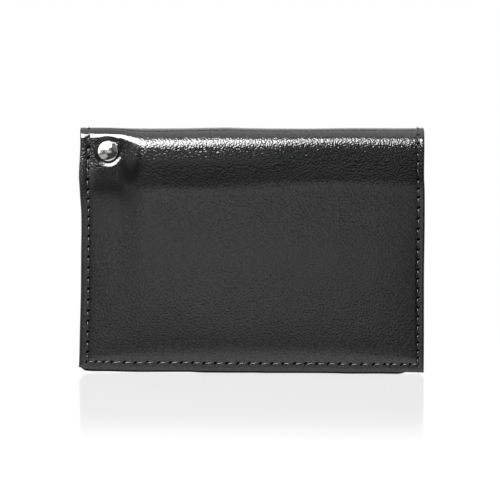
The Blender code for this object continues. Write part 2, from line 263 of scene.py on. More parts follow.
def swollen(radius, stand, flat, turn_in, flat_z):
    """A flank that leaves the roll upright, turns in over a share of its way and is flat from flat_z down."""
    arc_z = CASE_HEIGHT - radius
    way = np.linspace(0, 1, 400)
    drop = np.cumsum(np.minimum(np.minimum(way / turn_in, (1 - way) / 0.18), 1))

    def flank(z):
        return stand + (flat - stand) * np.interp((arc_z - z) / (arc_z - flat_z), way, drop / drop[-1])

    return flank


def pinched_front(z):
    table = sorted(RIVET_FLANK)
    return np.where(z < table[0][0] * MM, -FLAT_HALF, along_table(z, table))


def pinched_back(z):
    share = np.clip((RIVET_Z - CAP_RADIUS - z) / BACK_PINCH, 0, 1)
    start = STRAP_Y + PINCH_RADIUS
    return start + (FLAT_HALF - start) * ease(share**0.6)


def roll(radius, front, front_flat, turn_in, flat_z):
    back = swollen(radius, ROLL_RADIUS, FLAT_HALF, 0.4, flat_z)
    flanks = (swollen(radius, front, front_flat, turn_in, flat_z), back)
    return Outline(radius, front, ROLL_RADIUS, flanks)


# The soft roll, the firmer one and the one that the rivet pinches
ROLL = roll(ROLL_RADIUS, -ROLL_RADIUS, -FLAT_HALF, 0.35, 54.3 * MM)
FIRM = roll(5.9 * MM, -6.75 * MM, -5.7 * MM, 0.1, 56.5 * MM)
PINCHED = Outline(PINCH_RADIUS, STRAP_Y - PINCH_RADIUS, STRAP_Y + PINCH_RADIUS, (pinched_front, pinched_back))


def pinch(x):
    """How far the roll is drawn in at x: 1 under the rivet and out to the left edge, 0 past its fade."""
    return 1 - ease((x - RIVET_X - PINCH_FROM) / PINCH_FADE)


def dimpled(base):
    """The base pressed in round the rivet, on both faces, to the seats of its caps."""
    reach = np.hypot(base[..., 0] - RIVET_X, base[..., 2] - RIVET_Z)
    share = 1 - ease((reach - DIMPLE[0]) / (DIMPLE[1] - DIMPLE[0]))
    side = np.where(base[..., 1] < STRAP_Y, -1, 1)
    seat = STRAP_Y + side * (PINCH_RADIUS + SEAT_GAP)
    pressed = base.copy()
    depth = share * np.clip(side * (base[..., 1] - seat), 0, None)
    upward = ease(((base[..., 2] - RIVET_Z) / np.maximum(reach, 1e-6) - 0.6) / 0.35)
    ring = ease((reach - TUCK_RING[0]) / MM) * (1 - ease((reach - TUCK_RING[1]) / MM))
    depth += TUCK * upward * ring * (side < 0)
    pressed[..., 1] -= side * depth * (np.abs(base[..., 1] - STRAP_Y) > CROWN_HALF)
    return pressed


def spread(low, high, step, close=()):
    """Places from low to high: a step apart, closer near the seams and the edges."""
    places = [np.linspace(low, high, round((high - low) / step) + 1)]
    for centre, reach, fine in close:
        count = round(reach / fine)
        zone = centre + fine * np.arange(-count, count + 1)
        places = [kept[np.abs(kept - centre) > reach + 0.4 * step] for kept in places]
        places.append(zone[(zone >= low - 1e-9) & (zone <= high + 1e-9)])
    merged = np.unique(np.round(np.concatenate(places + [[low, high]]), 7))
    gaps = np.diff(merged)
    return np.concatenate([merged[:1], merged[1:][gaps > 0.02 * MM]])


def rounding(width, count=5):
    """Insets from an edge that follow an even turn round it."""
    return width * (1 - np.sin(np.linspace(0, pi / 2, count)))


def near_sides(places, width=EDGE_ROUND):
    """1 at both ends of the places, down to 0 a round's width further in."""
    inside = np.minimum(places - places[0], places[-1] - places)
    return np.clip(1 - inside / width, 0, 1)


def across_places(inset):
    """Places across the case, with both edges, both seams and the pinch at the rivet followed closely."""
    left_close = [(SEAM_LEFT, 1.5 * MM, FINE_STEP), (RIVET_X, 6.0 * MM, FINE_STEP)]
    right_close = [(SEAM_RIGHT, 1.2 * MM, FINE_STEP)]
    middle = spread(PINCH_SIDE, RIGHT - inset - EDGE_ROUND, 1.4 * MM, right_close)
    pinch_side = spread(LEFT + inset + EDGE_ROUND, PINCH_SIDE, 0.6 * MM, left_close)
    ends = rounding(EDGE_ROUND)
    places = [LEFT + inset + ends, pinch_side, middle, RIGHT - inset - ends]
    return np.unique(np.round(np.concatenate(places), 7))


def flank_heights(low, hem):
    """Heights up a leaf to the parting line, with the hem's roll-off and seam followed closely."""
    close = [(SEAM_Z, 1.2 * MM, FINE_STEP), (PART_Z, 4.0 * MM, 0.4 * MM)]
    body = spread(low + hem, PART_Z, 1.1 * MM, close)
    places = np.concatenate([low + rounding(hem, 7), body])
    return np.unique(np.round(places[places < PART_Z - 0.1 * MM], 7))


def normals_of(face):
    across, along = np.gradient(face, axis=0), np.gradient(face, axis=1)
    normal = np.cross(across, along)
    return normal / np.linalg.norm(normal, axis=2, keepdims=True)


def clouds(points, size, seed):
    """Slow random waves from -1 to 1 over an array of points."""
    shift = Vector((seed * 7.31, seed * 3.17, seed * 5.03))
    flat = points.reshape(-1, 3) / size
    return np.array([noise.noise(Vector(p) + shift) for p in flat]).reshape(points.shape[:-1])


def leaf_relief(points):
    """How far the sewn leather stands off its plain outline: dips at the seams, fullness between them."""
    x, z = points[..., 0], points[..., 2]
    inside = np.minimum(x - SEAM_LEFT, SEAM_RIGHT - x)
    above_hem = z - SEAM_Z
    between = np.clip(inside / MM + 0.5, 0, 1)
    dips = SIDE_DIP[0] * (bell(x - SEAM_LEFT, SIDE_DIP[1]) + bell(x - SEAM_RIGHT, SIDE_DIP[1]))
    dips = np.maximum(dips, HEM_DIP[0] * bell(above_hem, HEM_DIP[1]) * between)
    leaf = 1 - ease((z - PUFF_TOP) / PUFF_FADE)
    full = 1 - np.exp(-np.clip(inside, 0, None) / PUFF_REACH)
    full = full * (1 - np.exp(-np.clip(above_hem, 0, None) / (0.7 * PUFF_REACH)))
    waves = sum(height * clouds(points, size, seed) for seed, (height, size) in enumerate(WAVES, 1))
    return PUFF * full * leaf - dips + waves * between


def worn(points):
    """The points moved as use has moved the case's outline."""
    x, y, z = (points[..., k].copy() for k in range(3))
    z += along_table(x, TOP_SAG) * ease((z - TOP_WORN_FROM) / TOP_WORN)
    z += along_table(x, LOW_LIFT) * (1 - ease(z / LOW_WORN))
    x += along_table(points[..., 2], LEFT_PUSH) * (1 - ease((x - LEFT) / SIDE_WORN))
    x += along_table(points[..., 2], RIGHT_PUSH) * (1 - ease((RIGHT - x) / SIDE_WORN))
    return np.stack([x, y, z], axis=-1)


def corners_lifted(points, low, table):
    """The lower edge raised near its corners."""
    lifted = points.copy()
    reach = 1 - ease((points[..., 2] - low) / CORNER_WORN)
    lifted[..., 2] += along_table(points[..., 0], table) * reach
    return lifted


def roll_off(places, low, rise, hem):
    """How deep the surface has turned down at each point near the edges of a sheet."""
    share = np.clip(1 - (rise - low) / hem[0], 0, 1)
    side = EDGE_ROUND * (1 - np.sqrt(1 - near_sides(places) ** 2))
    return np.maximum(side[:, None], hem[1] * share**2)


class Sheet:
    """A sheet folded over the top of the case, as arrays of points of its outer and inner sides."""

    def __init__(self, low, inset, top, thick, corners, hem):
        places = across_places(inset)
        heights = flank_heights(low, hem[0])
        full, firm, pinched = (o.points(heights, heights[::-1]) for o in (ROLL, FIRM, PINCHED))
        share, firmness = (s[:, None, None] for s in (pinch(places), along_table(places, FIRM_SHARE)))
        base = np.empty((len(places), len(full), 3))
        base[..., 0] = places[:, None]
        base[..., 1:] = (1 - share) * (full + firmness * (firm - full)) + share * pinched
        base = dimpled(base)
        normal = normals_of(base)
        relief = leaf_relief(base)
        rise = base[..., 2].max(axis=0)
        outer_turn = roll_off(places, low, rise, hem)
        inner_turn = roll_off(places, low, rise, (EDGE_ROUND, 0.6 * EDGE_ROUND)) * 0.6
        outer = base + normal * (relief - top - outer_turn)[..., None]
        inner = base + normal * (relief - top - thick + inner_turn)[..., None]
        self.outer, self.inner = (worn(corners_lifted(p, low, corners)) for p in (outer, inner))
        self.places, self.heights = places, heights
        self.part_row = full.shape[0] - len(heights) - 1
        low_edge = np.clip(1 - (rise - low) / (0.5 * MM), 0, 1)
        self.edge = np.maximum(near_sides(places)[:, None], low_edge)


# Meshes


def linked(name, data):
    """A new object in the scene."""
    made = bpy.data.objects.new(name, data)
    bpy.context.scene.collection.objects.link(made)
    return made


def finished(name, bm):
    """The faces of a bmesh as a smooth object, turned outwards."""
    bmesh.ops.recalc_face_normals(bm, faces=bm.faces)
    mesh = bpy.data.meshes.new(name)
    bm.to_mesh(mesh)
    bm.free()
    mesh.shade_smooth()
    return linked(name, mesh)


def pierce(outer, inner, across=0.0, height=0.0):
    """The faces that the rivet's hole takes out of a sheet. The points round it move on to its rim."""
    radius = POST_RADIUS + CLEARANCE
    x, z = outer[..., 0] - across, outer[..., 2] - height
    reach = np.hypot(x, z)
    middle = (reach[1:, 1:] + reach[:-1, 1:] + reach[1:, :-1] + reach[:-1, :-1]) / 4
    gone = middle < radius
    touched, kept = np.zeros((2, *reach.shape), bool)
    for i, j in ((0, 0), (0, 1), (1, 0), (1, 1)):
        corner = slice(i, i + gone.shape[0]), slice(j, j + gone.shape[1])
        touched[corner] |= gone
        kept[corner] |= ~gone
    scale = np.where(touched & kept, radius / np.maximum(reach, 1e-6), 1.0)
    for points in (outer, inner):
        points[..., 0] += x * (scale - 1)
        points[..., 2] += z * (scale - 1)
    return gone


def closed_sheet(name, outer, inner, gone=None):
    """A solid between two arrays of points, as (object, the place of each vertex in the arrays)."""
    columns, rows = outer.shape[:2]
    gone = np.zeros((columns - 1, rows - 1), bool) if gone is None else gone
    index = np.arange(columns * rows).reshape(columns, rows)
    quads = np.stack([index[:-1, :-1], index[1:, :-1], index[1:, 1:], index[:-1, 1:]], axis=-1)
    top = quads[~gone]
    under = columns * rows
    edges = np.concatenate([top[:, [k, (k + 1) % 4]] for k in range(4)])
    keys = set(map(tuple, edges))
    rim = np.array([e for e in edges if (e[1], e[0]) not in keys])
    wall = np.stack([rim[:, 1], rim[:, 0], rim[:, 0] + under, rim[:, 1] + under], axis=1)
    faces = np.concatenate([top, top[:, ::-1] + under, wall])
    points = np.concatenate([outer.reshape(-1, 3), inner.reshape(-1, 3)])
    used, compact = np.unique(faces, return_inverse=True)
    mesh = bpy.data.meshes.new(name)
    mesh.from_pydata(points[used].tolist(), [], compact.reshape(-1, 4).tolist())
    mesh.shade_smooth()
    return linked(name, mesh), used % under


def add_values(made, name, values):
    """A number or a vector at each point."""
    kind, field = ("FLOAT", "value") if values.ndim == 1 else ("FLOAT_VECTOR", "vector")
    attribute = made.data.attributes.new(name, kind, "POINT")
    attribute.data.foreach_set(field, values.astype(np.float32).ravel())


def keep_line_smooth(made, places, rows, line, shades):
    """Shades the vertices on the parting line as if the sheet went on past it."""
    custom = np.zeros((len(made.data.loops), 3))
    for face in made.data.polygons:
        for loop in face.loop_indices:
            column, row = divmod(int(places[made.data.loops[loop].vertex_index]), rows)
            for normal in shades[:, column] if row == line else ():
                if np.dot(normal, face.normal) > 0.5:
                    custom[loop] = normal
    made.data.normals_split_custom_set(custom.tolist())


def ride(made, body, node, finish=None):
    """Hands a finished piece to its body, or to the bend if it has none, in place of a CAD node."""
    if finish:
        made.data.materials.append(finish)
    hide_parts(node)
    if body is None:
        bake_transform(made)
    else:
        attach(made, body)


def join_rings(bm, rings, steps):
    """Faces from each ring of vertices to the next. A ring may be a single vertex."""
    for a, b in zip(rings, rings[1:]):
        for k in range(steps):
            n = (k + 1) % steps
            corners = [a[k % len(a)], a[n % len(a)], b[n % len(b)], b[k % len(b)]]
            bm.faces.new(list(dict.fromkeys(corners)))


def lathe(name, outline, steps=96):
    """A turned piece from (radius, height) points, on the rivet's axis, with its heights towards -Y."""
    bm = bmesh.new()
    rings = []
    angles = [2 * pi * k / steps for k in range(steps)]
    for radius, height in outline:
        around = angles if radius > 1e-7 else angles[:1]
        rings.append([bm.verts.new((radius * cos(a), -height, radius * sin(a))) for a in around])
    join_rings(bm, rings, steps)
    return finished(name, bm)


# Node trees


class Number:
    """A node's output, so that arithmetic on it adds Math nodes."""

    def __init__(self, wiring, socket):
        self.wiring, self.socket = wiring, socket

    def math(self, operation, *values):
        return self.wiring.node("ShaderNodeMath", {"operation": operation}, dict(enumerate(values)))

    def __add__(self, other):
        return self.math("ADD", self, other)

    def __radd__(self, other):
        return self.math("ADD", other, self)

    def __sub__(self, other):
        return self.math("SUBTRACT", self, other)

    def __rsub__(self, other):
        return self.math("SUBTRACT", other, self)

    def __mul__(self, other):
        return self.math("MULTIPLY", self, other)

    def __rmul__(self, other):
        return self.math("MULTIPLY", other, self)

    def __truediv__(self, other):
        return self.math("DIVIDE", self, other)

    def whole(self):
        return self.math("ROUND", self)

    def larger(self, other):
        return self.math("MAXIMUM", self, other)

    def step(self, low, high):
        """0 below low and 1 above high, or the other way round, with level ends."""
        settings = {"interpolation_type": "SMOOTHSTEP"}
        low, high, start, end = (low, high, 0.0, 1.0) if low < high else (high, low, 1.0, 0.0)
        feeds = {"Value": self, "From Min": low, "From Max": high, "To Min": start, "To Max": end}
        return self.wiring.node("ShaderNodeMapRange", settings, feeds)


class Wiring:
    """A node tree that is filled one node at a time."""

    def __init__(self, tree):
        self.tree = tree

    def node(self, kind, settings=None, feeds=None, output=0):
        made = self.tree.nodes.new(kind)
        for name, value in (settings or {}).items():
            setattr(made, name, value)
        for name, value in (feeds or {}).items():
            self.feed(made.inputs[name], value)
        return Number(self, made.outputs[output]) if made.outputs else None

    def feed(self, socket, value):
        if isinstance(value, Number):
            self.tree.links.new(value.socket, socket)
        else:
            socket.default_value = value


def socket_name(name):
    return name.replace("_", " ").title().replace("Ior", "IOR")


class Finish(Wiring):
    """A material with one Principled surface."""

    def __init__(self, name, **constants):
        self.material = bpy.data.materials.new(name)
        self.material.use_nodes = True
        super().__init__(self.material.node_tree)
        self.surface = self.tree.nodes["Principled BSDF"]
        self.place = self.node("ShaderNodeTexCoord", output="Object")
        self.set(**constants)

    def set(self, **values):
        for name, value in values.items():
            self.feed(self.surface.inputs[socket_name(name)], value)

    def cover(self, share, top):
        """Lays a second surface over the first where share is 1."""
        first = Number(self, self.surface.outputs[0])
        mixed = self.node("ShaderNodeMixShader", None, {0: share, 1: first, 2: top})
        self.feed(self.tree.nodes["Material Output"].inputs["Surface"], mixed)

    def noise(self, scale, detail=2.0, roughness=0.5):
        feeds = {"Vector": self.place, "Scale": scale, "Detail": detail, "Roughness": roughness}
        return self.node("ShaderNodeTexNoise", None, feeds)

    def along(self, axis):
        return self.node("ShaderNodeSeparateXYZ", None, {"Vector": self.place}, output=axis)

    def own(self, name):
        return self.node("ShaderNodeAttribute", {"attribute_name": name}, output="Fac")

    def blend(self, share, first, second):
        feeds = {0: share, 6: (*first, 1), 7: (*second, 1)}
        return self.node("ShaderNodeMix", {"data_type": "RGBA"}, feeds, output=2)

    def bump(self, height, depth, strength=1.0, under=None):
        feeds = {"Height": height, "Distance": depth, "Strength": strength}
        if under is not None:
            feeds["Normal"] = under
        return self.node("ShaderNodeBump", None, feeds)


def needle_hole(run, off, half_sizes):
    """A mask of the slanted needle holes along a seam: run counts stitches, off is the way across it."""
    along = (run - run.whole()) * SIDE_PITCH
    tilt_cos, tilt_sin = cos(HOLE_SLANT), sin(HOLE_SLANT)
    long = (along * tilt_cos + off * tilt_sin) / half_sizes[0]
    short = (off * tilt_cos - along * tilt_sin) / half_sizes[1]
    return (long * long + short * short).step(1.5, 0.35)


# Zones of the hide's look, each from where its share is 0 to where it is 1
ROLLED_LOW, ROLLED_TOP = (60.0 * MM, 67.0 * MM), (72.5 * MM, 71.0 * MM)  # heights of the roll's coarser grain
DRAWN_SIDE, DRAWN_LOW = (-31.5 * MM, -40.5 * MM), (47.5 * MM, 56.0 * MM)  # smoother, round the rivet
TAUT_SIDE = (-49.5 * MM, -46.5 * MM)  # smoothest, from the left seam to the rivet


def calf():
    """Smooth glossy black calf: fine grain and faint creases, needle holes with painted shade in them,
    painted cut edges.
    """
    finish = Finish("black_calf", coat_roughness=0.14)
    fine = finish.noise(1800.0, 0.5)
    creases = finish.noise(800.0, 2.0, 0.6)
    patches = finish.noise(55.0, 3.0)
    edge = finish.own("edge")
    holes = [
        needle_hole(finish.own(seam + "_run"), finish.own(seam + "_off"), half_sizes)
        for seam, half_sizes in (("side", SIDE_HOLE), ("hem", HEM_HOLE))
    ]
    hole = holes[0].larger(holes[1])
    across, height = (finish.along(axis) for axis in "XZ")
    rolled = height.step(*ROLLED_LOW) * height.step(*ROLLED_TOP)
    drawn = across.step(*DRAWN_SIDE) * height.step(*DRAWN_LOW)
    taut = drawn * (0.3 + across.step(*TAUT_SIDE) * 0.7)
    grain = (fine - 0.5) * (0.6 + rolled * 1.3) * (1 - drawn * 0.75)
    wrinkles = finish.bump(creases, 0.008 * MM, 0.3)
    skin = finish.bump(grain, 0.08 * MM, 1.0, wrinkles)
    finish.set(
        base_color=finish.blend(patches, (0.0012, 0.0012, 0.0013), (0.002, 0.002, 0.0021)),
        roughness=0.1 + (patches * 0.07 + fine * 0.05) * (1 - taut * 0.8) + edge * 0.15,
        coat_weight=0.22 + (fine - 0.5) * (1 - drawn) * 0.9 - edge * 0.1 - taut * 0.12,
        normal=finish.bump(1 - hole, 0.25 * MM, 1.0, skin),
    )
    # Painted shade: inside each needle hole the surface is near-black, fully rough and without shine, over
    # the dent that the bump makes there
    depth = {"Base Color": (0.0004, 0.0004, 0.0004, 1), "Roughness": 1.0, "Specular IOR Level": 0.0}
    finish.cover(hole, finish.node("ShaderNodeBsdfPrincipled", None, depth))
    return finish.material


def lining_leather():
    """Thin matt lining leather with a close nap."""
    finish = Finish("black_lining", specular_ior_level=0.1)
    nap = finish.noise(3800.0, 3.0, 0.65)
    patches = finish.noise(90.0)
    finish.set(
        base_color=finish.blend(patches, (0.004, 0.004, 0.0042), (0.0065, 0.0065, 0.0068)),
        roughness=0.62 + nap * 0.16,
        normal=finish.bump(nap, 0.04 * MM, 0.6),
    )
    return finish.material


def waxed_thread():
    finish = Finish("black_thread")
    fibres = finish.noise(9000.0)
    finish.set(
        base_color=finish.blend(fibres, (0.004, 0.004, 0.0043), (0.009, 0.009, 0.0096)),
        roughness=0.16 + fibres * 0.1,
        normal=finish.bump(fibres, 0.012 * MM, 0.5),
    )
    return finish.material


def nickel(name, colour, roughness):
    """Polished plate with faint dents and rub marks."""
    finish = Finish(name, metallic=1.0)
    dents = finish.noise(520.0)
    rubs = finish.noise(3000.0, 4.0, 0.7)
    finish.set(
        base_color=finish.blend(rubs, colour, tuple(0.82 * c for c in colour)),
        roughness=roughness + rubs * 0.12,
        normal=finish.bump(dents, 0.08 * MM, 0.35),
    )
    return finish.material


# Seams


def walked(path, shares=None, first=()):
    """The needle holes along a path as fractions of its steps, and the stitches before each of its points.

    The stitches have the shares given, or else the lengths in first and then the usual length."""
    reach = np.concatenate([[0], np.cumsum(np.linalg.norm(np.diff(path, axis=0), axis=1))])
    if shares is None:
        rest = reach[-1] - sum(first) * MM
        count = round(rest / SIDE_PITCH)
        shares = [length * MM for length in first] + [rest / count] * count
    shares = np.array(shares)
    holes = np.concatenate([[0], np.cumsum(shares)]) / shares.sum() * reach[-1]
    return np.interp(holes, reach, np.arange(len(path))), np.interp(reach, holes, np.arange(len(holes)))


def sampled(values, fractions):
    """The rows of values at fractions of their steps."""
    return np.stack([np.interp(fractions, np.arange(len(values)), values[:, k]) for k in range(3)], axis=1)


def stitches(path, normals, holes, sunk=0.0):
    """(middle, way, outward, length) of each stitch, on the path or sunk to the leaf's inner face."""
    halfway = (holes[1:] + holes[:-1]) / 2
    out = sampled(-normals if sunk else normals, halfway)
    way = np.diff(sampled(path, holes), axis=0)
    length = np.linalg.norm(way, axis=1)
    return sampled(path, halfway) + sunk * out, way / length[:, None], out, length


def stitch_tree(material):
    """A tree that sets a short bow of three-ply thread on each point, with both ends down in the holes."""
    tree = bpy.data.node_groups.new("thread_bows", "GeometryNodeTree")
    sockets = {
        "Stitch length": 0.84 * SIDE_PITCH,
        "Thread thickness": THREAD_THICK,
        "Bow height": 0.42 * MM,
        "End depth": 0.3 * MM,
        "Slant": radians(8),
        "Looseness": radians(4),
    }
    face = tree.interface
    for way in ("INPUT", "OUTPUT"):
        face.new_socket("Geometry", in_out=way, socket_type="NodeSocketGeometry")
    for label, value in sockets.items():
        face.new_socket(label, in_out="INPUT", socket_type="NodeSocketFloat").default_value = value
    face.new_socket("Seed", in_out="INPUT", socket_type="NodeSocketInt").default_value = 4
    nodes = Wiring(tree)
    entry = tree.nodes.new("NodeGroupInput")
    given = {socket.name: Number(nodes, socket) for socket in entry.outputs if socket.name}
    half, thick = given["Stitch length"] * 0.5, given["Thread thickness"]

    def spot(x, z):
        return nodes.node("ShaderNodeCombineXYZ", None, {"X": x, "Z": z})

    def own(name, kind="FLOAT_VECTOR"):
        return nodes.node("GeometryNodeInputNamedAttribute", {"data_type": kind}, {"Name": name})

    sunk = given["End depth"] * -1.0
    bow = nodes.node(
        "GeometryNodeCurvePrimitiveBezierSegment",
        {"mode": "POSITION"},
        {
            "Start": spot(half * -1.0, sunk),
            "Start Handle": spot(half * -1.02, given["Bow height"]),
            "End Handle": spot(half * 1.02, given["Bow height"]),
            "End": spot(half, sunk),
            "Resolution": 9,
        },
    )
    share = nodes.node("GeometryNodeSplineParameter")
    twisted = nodes.node("GeometryNodeSetCurveTilt", None, {"Curve": bow, "Tilt": share * 5.0})
    star = {"Points": 3, "Inner Radius": thick * 0.46, "Outer Radius": thick * 0.52}
    plies = nodes.node("GeometryNodeCurveStar", None, star)
    sweep = {"Curve": twisted, "Profile Curve": plies, "Fill Caps": True}
    stitch = nodes.node("GeometryNodeCurveToMesh", None, sweep)
    axes = {"Primary Axis": own("outward"), "Secondary Axis": own("way")}
    laid = nodes.node("FunctionNodeAxesToRotation", {"primary_axis": "Z", "secondary_axis": "X"}, axes)
    loose = nodes.node(
        "FunctionNodeRandomValue",
        {"data_type": "FLOAT"},
        {2: given["Looseness"] * -1.0, 3: given["Looseness"], "Seed": given["Seed"]},
        output=1,
    )
    slant = {"Axis": (0.0, 0.0, 1.0), "Angle": given["Slant"] + loose}
    turns = {"Rotation": laid, "Rotate By": nodes.node("FunctionNodeAxisAngleToRotation", None, slant)}
    scale = {"X": own("long", "FLOAT"), "Y": 1.0, "Z": 1.0}
    placed = nodes.node(
        "GeometryNodeInstanceOnPoints",
        None,
        {
            "Points": given["Geometry"],
            "Instance": stitch,
            "Rotation": nodes.node("FunctionNodeRotateRotation", {"rotation_space": "LOCAL"}, turns),
            "Scale": nodes.node("ShaderNodeCombineXYZ", None, scale),
        },
    )
    whole = nodes.node("GeometryNodeRealizeInstances", None, {"Geometry": placed})
    smooth = nodes.node("GeometryNodeSetShadeSmooth", None, {"Geometry": whole})
    dressed = nodes.node("GeometryNodeSetMaterial", None, {"Geometry": smooth, "Material": material})
    nodes.node("NodeGroupOutput", None, {"Geometry": dressed})
    return tree


def sew(name, groups, tree):
    """One mesh of all the stitches in groups of (middle, way, outward, length)."""
    middle, way, outward, length = (np.concatenate(column) for column in zip(*groups))
    points = bpy.data.meshes.new(name + "_points")
    points.from_pydata(middle.tolist(), [], [])
    carrier = linked(name + "_points", points)
    for label, values in (("way", way), ("outward", outward), ("long", length / SIDE_PITCH)):
        add_values(carrier, label, values)
    carrier.modifiers.new("stitches", "NODES").node_group = tree
    graph = bpy.context.evaluated_depsgraph_get()
    mesh = bpy.data.meshes.new_from_object(carrier.evaluated_get(graph), depsgraph=graph)
    bpy.data.objects.remove(carrier)
    mesh.name = name
    return linked(name, mesh)


def side_seams(hide, normals, columns, low):
    """Stitch counts over the hide along its sides, and (path, normals, holes) of both seams."""
    counts = np.empty(hide.outer.shape[:2])
    seams = []
    halves = (hide.places < 0, hide.places >= 0)
    for column, chosen, first in zip(columns, halves, (LEFT_STITCHES, RIGHT_STITCHES)):
        line = hide.outer[column]
        path, out = line[low:-low], normals[column, low:-low]
        holes, run = walked(path, first=first)
        before = np.linalg.norm(line[:low] - path[0], axis=1) / SIDE_PITCH
        after = np.linalg.norm(line[-low:] - path[-1], axis=1) / SIDE_PITCH
        counts[chosen] = np.concatenate([-before, run, run[-1] + after])
        seams.append((path, out, holes))
    return counts, seams


def hem_seams(hide, normals, columns, low):
    """The same across the hide above the hem of each leaf."""
    left, right = columns
    rows = hide.outer.shape[1]
    between = slice(left, right + 1)
    counts = np.empty(hide.outer.shape[:2])
    seams = []
    for row, shares, chosen in (
        (low, HEM_STITCHES, slice(0, rows // 2)),
        (rows - 1 - low, BACK_HEM_STITCHES, slice(rows // 2, rows)),
    ):
        path, out = hide.outer[between, row], normals[between, row]
        holes, run = walked(path, shares)
        before = (hide.places[:left] - SEAM_LEFT) / SIDE_PITCH
        after = run[-1] + (hide.places[right + 1 :] - SEAM_RIGHT) / SIDE_PITCH
        counts[:, chosen] = np.concatenate([before, run, after])[:, None]
        seams.append((path, out, holes))
    return counts, seams


def add_sheet(sheet, slot, kind, finish, numbers):
    """The front and the back part of a sheet, shaded as one, with the numbers that its finish reads."""
    line = sheet.part_row
    shades = np.array([normals_of(sheet.outer)[:, line], -normals_of(sheet.inner)[:, line]])
    for side, cut, body in (("front", slice(0, line + 1), None), ("back", slice(line, None), "shell")):
        outer, inner = sheet.outer[:, cut].copy(), sheet.inner[:, cut].copy()
        gone = pierce(outer, inner, RIVET_X, RIVET_Z)
        made, used = closed_sheet(f"{slot}_{side}", outer, inner, gone)
        for label, values in numbers.items():
            add_values(made, label, values[:, cut].ravel()[used])
        keep_line_smooth(made, used, outer.shape[1], 0 if body else line, shades)
        ride(made, body, f"{side}_{kind}", finish)


def add_seams(sides, hems, finish):
    """The stitches of each leaf, on both of its faces."""
    tree = stitch_tree(finish)
    front, back = [], []
    for path, out, holes in sides:
        for sunk in (0.0, LEAF_THICK):
            middle, way, outward, length = stitches(path, out, holes, sunk)
            middle = middle - outward * SIDE_PRESS
            height, behind = middle[:, 2], middle[:, 1] > 0
            if sunk:
                shift = np.where(behind & (height < POCKET_HEIGHT), CLEARANCE + POCKET_THICK, 0.0)
                shift -= STRAP_PRESS * (height > STRAP_PRESS_FROM)
                middle = middle + outward * shift[:, None]
            on_back = behind & (height < PART_Z)
            for group, chosen in ((front, ~on_back), (back, on_back)):
                group.append((middle[chosen], way[chosen], outward[chosen], length[chosen]))
    depths = (LEAF_THICK, LEAF_THICK + CLEARANCE + POCKET_THICK)
    for group, (path, out, holes), inside in zip((front, back), hems, depths):
        group += [stitches(path, out, holes), stitches(path, out, holes, inside)]
    ride(sew("seam_front", front, tree), None, "front_seam_thread")
    ride(sew("seam_back", back, tree), "shell", "back_seam_thread")


def add_hide_and_seams(calf_finish, lining_finish, thread_finish):
    hide = Sheet(HIDE_LOW, 0.0, 0.0, HIDE_THICK, HIDE_CORNERS, HEM_ROUND)
    lining = Sheet(0.0, LINING_INSET, LINING_TOP, LINING_THICK, LINING_CORNERS, (0.3 * MM, 0.3 * MM))
    normals = normals_of(hide.outer)
    columns = [nearest(hide.places, x) for x in (SEAM_LEFT, SEAM_RIGHT)]
    low = nearest(hide.heights, SEAM_Z)
    side_run, sides = side_seams(hide, normals, columns, low)
    hem_run, hems = hem_seams(hide, normals, columns, low)
    side_off = hide.places - np.where(hide.places < 0, SEAM_LEFT, SEAM_RIGHT)
    over_roll = np.full(hem_run.shape[1] - 2 * len(hide.heights), 1.0)
    rise = np.concatenate([hide.heights, over_roll, hide.heights[::-1]])
    numbers = {
        "side_run": side_run,
        "side_off": np.broadcast_to(side_off[:, None], side_run.shape),
        "hem_run": hem_run,
        "hem_off": np.broadcast_to(rise - SEAM_Z, side_run.shape),
        "edge": hide.edge,
    }
    add_sheet(hide, "hide", "leather", calf_finish, numbers)
    add_sheet(lining, "lining", "lining", lining_finish, {})
    add_seams(sides, hems, thread_finish)


# Inside and hardware


def add_card_pocket(finish):
    """A panel on the back leaf's lining, with a creased line under its mouth."""
    ends = rounding(EDGE_ROUND)
    half = CASE_WIDTH / 2 - LINING_INSET
    crease_z = POCKET_HEIGHT - 2.2 * MM
    x = np.linspace(-half + EDGE_ROUND, half - EDGE_ROUND, 90)
    x = np.unique(np.concatenate([-half + ends, x, half - ends]))
    close = [(crease_z, 0.9 * MM, 0.2 * MM)]
    z = spread(EDGE_STEP + EDGE_ROUND, POCKET_HEIGHT - EDGE_ROUND, 1.2 * MM, close)
    z = np.unique(np.concatenate([EDGE_STEP + ends, z, POCKET_HEIGHT - ends]))
    near = np.maximum(near_sides(x)[:, None], near_sides(z))
    turn = 0.5 * POCKET_THICK * (1 - np.sqrt(1 - near**2))
    crease = 0.09 * MM * bell(z - crease_z, 0.3 * MM)
    across, height = np.meshgrid(x, z, indexing="ij")
    outer = np.stack([across, POCKET_FACE + turn + crease, height], axis=-1)
    inner = np.stack([across, POCKET_FACE + POCKET_THICK - turn, height], axis=-1)
    made, _ = closed_sheet("pocket_panel", worn(outer), worn(inner))
    ride(made, "shell", "card_pocket", finish)


